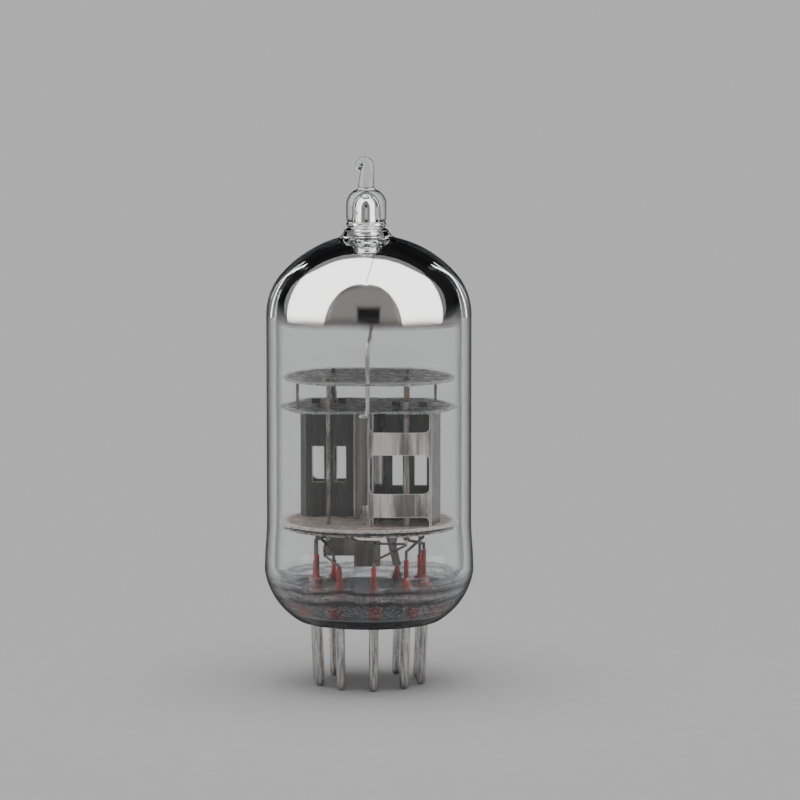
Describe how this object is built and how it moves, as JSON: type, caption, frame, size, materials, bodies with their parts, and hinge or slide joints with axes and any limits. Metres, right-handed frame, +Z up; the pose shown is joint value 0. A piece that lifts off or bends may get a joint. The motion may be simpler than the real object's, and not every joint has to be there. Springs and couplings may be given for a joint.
{
  "type": "vacuum tube",
  "caption": "Miniature glass vacuum tube with a pin base, two triodes between mica discs, a silver getter mirror in the dome and a hooked exhaust tip.",
  "frame": {"origin": "on the tube's axis in the plane of the pin tips", "axes": "+Z up the axis to the exhaust tip, -Y towards the front triode's side of the base, the gap between the pins at +Y"},
  "size_m": [0.0224, 0.0224, 0.0564],
  "materials": {
    "bulb_glass": "clear polished",
    "tip_glass": "clear, fire polished",
    "stem_glass": "pressed, rippled",
    "getter_mirror": "vapour-deposited metal mirror",
    "pin_metal": "dull plated wire",
    "red_copper": "red oxidised copper cladding under glass",
    "coated_mica": "mica sprayed with white insulating powder",
    "clear_mica": "translucent flaked mica",
    "anode_nickel": "rolled nickel sheet, fine grain",
    "cathode_nickel": "nickel sleeve, oxide coated",
    "grid_metal": "drawn molybdenum wire",
    "heater_ceramic": "alumina-coated tungsten",
    "shield_nickel": "nickel sheet, matt",
    "bright_wire": "bright drawn nickel wire",
    "getter_steel": "nickel-plated steel, heated dull",
    "lead_nickel": "oxidised nickel wire",
    "heater_wire": "copper-brown bare wire"
  },
  "bodies": {
    "root": {"glass_bulb": "bulb_glass", "exhaust_tip": "tip_glass", "stem_button": "stem_glass", "getter_flash": "getter_mirror", "pin_1": "pin_metal", "pin_2": "pin_metal", "pin_3": "pin_metal", "pin_4": "pin_metal", "pin_5": "pin_metal", "pin_6": "pin_metal", "pin_7": "pin_metal", "pin_8": "pin_metal", "pin_9": "pin_metal", "seal_lead_1": "red_copper", "seal_lead_2": "red_copper", "seal_lead_3": "red_copper", "seal_lead_4": "red_copper", "seal_lead_5": "red_copper", "seal_lead_6": "red_copper", "seal_lead_7": "red_copper", "seal_lead_8": "red_copper", "seal_lead_9": "red_copper", "lower_mica": "coated_mica", "lower_mica_backing": "coated_mica", "upper_mica": "clear_mica", "top_mica": "clear_mica", "anode_front_a": "anode_nickel", "anode_back_a": "anode_nickel", "cathode_a": "cathode_nickel", "grid_rods_a": "grid_metal", "grid_winding_a": "grid_metal", "heater_a": "heater_ceramic", "anode_front_b": "anode_nickel", "anode_back_b": "anode_nickel", "cathode_b": "cathode_nickel", "grid_rods_b": "grid_metal", "grid_winding_b": "grid_metal", "heater_b": "heater_ceramic", "centre_shield": "shield_nickel", "base_shield": "shield_nickel", "shield_lead": "shield_nickel", "support_rod_rear": "bright_wire", "support_rod_front": "bright_wire", "mica_spacers": "bright_wire", "rod_clips": "bright_wire", "getter_post": "bright_wire", "getter_ring": "getter_steel", "anode_lead_a": "lead_nickel", "anode_lead_b": "lead_nickel", "grid_lead_a": "lead_nickel", "grid_lead_b": "lead_nickel", "cathode_lead_a": "lead_nickel", "cathode_lead_b": "lead_nickel", "heater_lead_right": "heater_wire", "heater_lead_left": "heater_wire", "heater_link": "heater_wire"}
  },
  "joints": []
}
